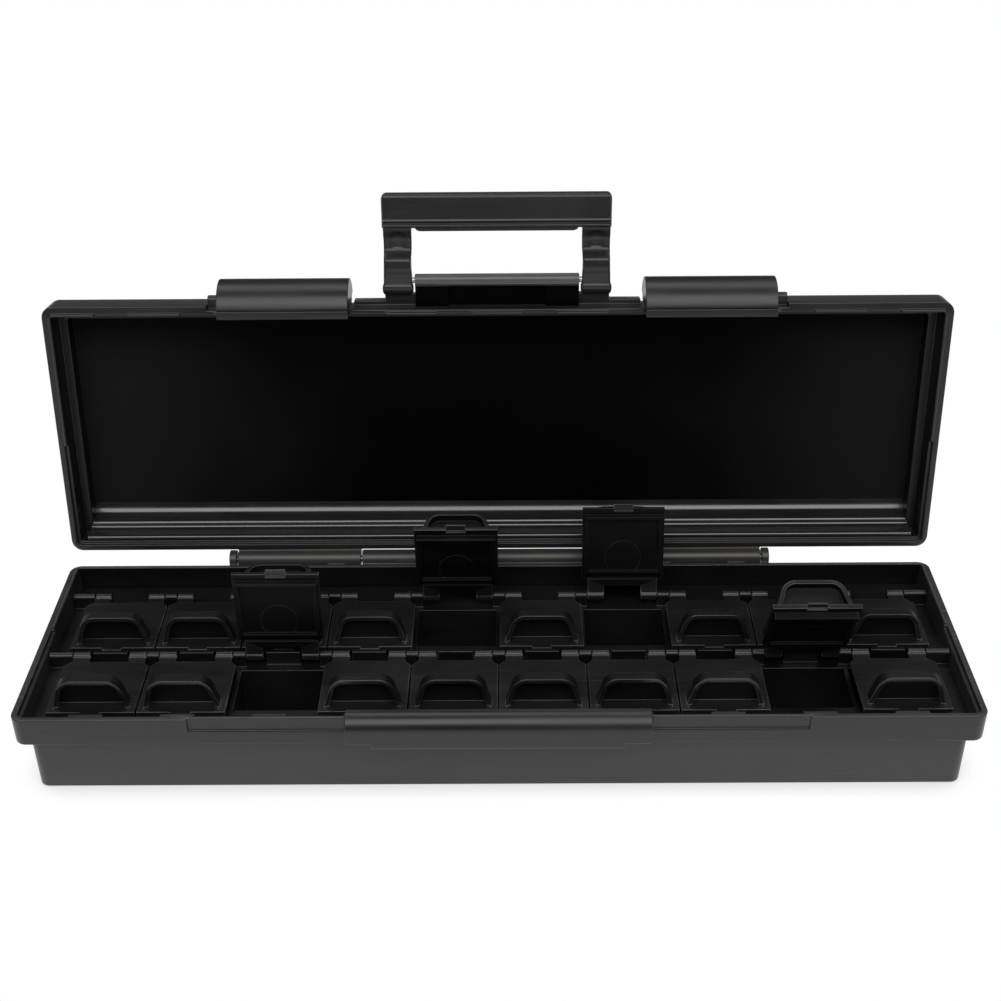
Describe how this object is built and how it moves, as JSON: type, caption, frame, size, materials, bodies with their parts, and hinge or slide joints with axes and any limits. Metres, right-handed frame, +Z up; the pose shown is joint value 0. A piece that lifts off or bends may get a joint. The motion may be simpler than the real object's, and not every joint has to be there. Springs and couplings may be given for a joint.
{
  "type": "compartment storage case",
  "caption": "Shallow hinged case with a raised cover, carrying handle and snap latches, and rows of open bins that each have a hinged lid with a finger hood.",
  "frame": {"origin": "middle of the underside of the base", "axes": "+X along the case to the right, +Y from the front to the hinge at the back, +Z up"},
  "size_m": [0.264, 0.1122, 0.1343],
  "materials": {
    "shell plastic": "satin moulded",
    "bin plastic": "satin moulded",
    "lid plastic": "satin moulded",
    "steel": "plain drawn wire"
  },
  "bodies": {
    "base": {"base_shell": "shell plastic", "front_bins": "bin plastic", "back_bins": "bin plastic", "hinge_pin": "steel"},
    "cover": {"cover": "shell plastic", "handle_pin": "steel", "latch_pin_left": "steel", "latch_pin_right": "steel"},
    "handle": {"handle": "shell plastic"},
    "latch_left": {"latch_left": "shell plastic"},
    "latch_right": {"latch_right": "shell plastic"},
    "lid_front_1": {"lid_front_1": "lid plastic"},
    "lid_front_2": {"lid_front_2": "lid plastic"},
    "lid_front_3": {"lid_front_3": "lid plastic"},
    "lid_front_4": {"lid_front_4": "lid plastic"},
    "lid_front_5": {"lid_front_5": "lid plastic"},
    "lid_front_6": {"lid_front_6": "lid plastic"},
    "lid_front_7": {"lid_front_7": "lid plastic"},
    "lid_front_8": {"lid_front_8": "lid plastic"},
    "lid_front_9": {"lid_front_9": "lid plastic"},
    "lid_front_10": {"lid_front_10": "lid plastic"},
    "lid_back_1": {"lid_back_1": "lid plastic"},
    "lid_back_2": {"lid_back_2": "lid plastic"},
    "lid_back_3": {"lid_back_3": "lid plastic"},
    "lid_back_4": {"lid_back_4": "lid plastic"},
    "lid_back_5": {"lid_back_5": "lid plastic"},
    "lid_back_6": {"lid_back_6": "lid plastic"},
    "lid_back_7": {"lid_back_7": "lid plastic"},
    "lid_back_8": {"lid_back_8": "lid plastic"},
    "lid_back_9": {"lid_back_9": "lid plastic"},
    "lid_back_10": {"lid_back_10": "lid plastic"}
  },
  "joints": [
    {"name": "cover_hinge", "type": "hinge", "parent": "base", "child": "cover", "pos_m": [0, 0.0412, 0.0262], "axis": [-1, 0, 0], "range_deg": [-100, 0]},
    {"name": "handle_hinge", "type": "hinge", "parent": "cover", "child": "handle", "pos_m": [0, 0.05999, 0.10971], "axis": [-1, 0, 0], "range_deg": [-75, 0]},
    {"name": "latch_left_hinge", "type": "hinge", "parent": "cover", "child": "latch_left", "pos_m": [-0.062, 0.05915, 0.10437], "axis": [-1, 0, 0], "range_deg": [0, 60]},
    {"name": "latch_right_hinge", "type": "hinge", "parent": "cover", "child": "latch_right", "pos_m": [0.062, 0.05915, 0.10437], "axis": [-1, 0, 0], "range_deg": [0, 60]},
    {"name": "lid_front_1_hinge", "type": "hinge", "parent": "base", "child": "lid_front_1", "pos_m": [-0.1116, -0.00465, 0.023], "axis": [-1, 0, 0], "range_deg": [0, 105]},
    {"name": "lid_front_2_hinge", "type": "hinge", "parent": "base", "child": "lid_front_2", "pos_m": [-0.0868, -0.00465, 0.023], "axis": [-1, 0, 0], "range_deg": [0, 105]},
    {"name": "lid_front_3_hinge", "type": "hinge", "parent": "base", "child": "lid_front_3", "pos_m": [-0.062, -0.00465, 0.023], "axis": [-1, 0, 0], "range_deg": [-92, 13]},
    {"name": "lid_front_4_hinge", "type": "hinge", "parent": "base", "child": "lid_front_4", "pos_m": [-0.0372, -0.00465, 0.023], "axis": [-1, 0, 0], "range_deg": [0, 105]},
    {"name": "lid_front_5_hinge", "type": "hinge", "parent": "base", "child": "lid_front_5", "pos_m": [-0.0124, -0.00465, 0.023], "axis": [-1, 0, 0], "range_deg": [0, 105]},
    {"name": "lid_front_6_hinge", "type": "hinge", "parent": "base", "child": "lid_front_6", "pos_m": [0.0124, -0.00465, 0.023], "axis": [-1, 0, 0], "range_deg": [0, 105]},
    {"name": "lid_front_7_hinge", "type": "hinge", "parent": "base", "child": "lid_front_7", "pos_m": [0.0372, -0.00465, 0.023], "axis": [-1, 0, 0], "range_deg": [0, 105]},
    {"name": "lid_front_8_hinge", "type": "hinge", "parent": "base", "child": "lid_front_8", "pos_m": [0.062, -0.00465, 0.023], "axis": [-1, 0, 0], "range_deg": [0, 105]},
    {"name": "lid_front_9_hinge", "type": "hinge", "parent": "base", "child": "lid_front_9", "pos_m": [0.0868, -0.00465, 0.023], "axis": [-1, 0, 0], "range_deg": [-63, 42]},
    {"name": "lid_front_10_hinge", "type": "hinge", "parent": "base", "child": "lid_front_10", "pos_m": [0.1116, -0.00465, 0.023], "axis": [-1, 0, 0], "range_deg": [0, 105]},
    {"name": "lid_back_1_hinge", "type": "hinge", "parent": "base", "child": "lid_back_1", "pos_m": [-0.1116, 0.02515, 0.023], "axis": [-1, 0, 0], "range_deg": [0, 105]},
    {"name": "lid_back_2_hinge", "type": "hinge", "parent": "base", "child": "lid_back_2", "pos_m": [-0.0868, 0.02515, 0.023], "axis": [-1, 0, 0], "range_deg": [0, 105]},
    {"name": "lid_back_3_hinge", "type": "hinge", "parent": "base", "child": "lid_back_3", "pos_m": [-0.062, 0.02515, 0.023], "axis": [-1, 0, 0], "range_deg": [0, 105]},
    {"name": "lid_back_4_hinge", "type": "hinge", "parent": "base", "child": "lid_back_4", "pos_m": [-0.0372, 0.02515, 0.023], "axis": [-1, 0, 0], "range_deg": [0, 105]},
    {"name": "lid_back_5_hinge", "type": "hinge", "parent": "base", "child": "lid_back_5", "pos_m": [-0.0124, 0.02515, 0.023], "axis": [-1, 0, 0], "range_deg": [-79, 26]},
    {"name": "lid_back_6_hinge", "type": "hinge", "parent": "base", "child": "lid_back_6", "pos_m": [0.0124, 0.02515, 0.023], "axis": [-1, 0, 0], "range_deg": [0, 105]},
    {"name": "lid_back_7_hinge", "type": "hinge", "parent": "base", "child": "lid_back_7", "pos_m": [0.0372, 0.02515, 0.023], "axis": [-1, 0, 0], "range_deg": [-105, 0]},
    {"name": "lid_back_8_hinge", "type": "hinge", "parent": "base", "child": "lid_back_8", "pos_m": [0.062, 0.02515, 0.023], "axis": [-1, 0, 0], "range_deg": [0, 105]},
    {"name": "lid_back_9_hinge", "type": "hinge", "parent": "base", "child": "lid_back_9", "pos_m": [0.0868, 0.02515, 0.023], "axis": [-1, 0, 0], "range_deg": [0, 105]},
    {"name": "lid_back_10_hinge", "type": "hinge", "parent": "base", "child": "lid_back_10", "pos_m": [0.1116, 0.02515, 0.023], "axis": [-1, 0, 0], "range_deg": [0, 105]}
  ],
  "couplings": [
    {"joint": "lid_front_3_hinge", "follows": "cover_hinge", "ratio": 0.92},
    {"joint": "lid_front_9_hinge", "follows": "cover_hinge", "ratio": 0.63},
    {"joint": "lid_back_5_hinge", "follows": "cover_hinge", "ratio": 0.79},
    {"joint": "lid_back_7_hinge", "follows": "cover_hinge", "ratio": 1.05}
  ]
}
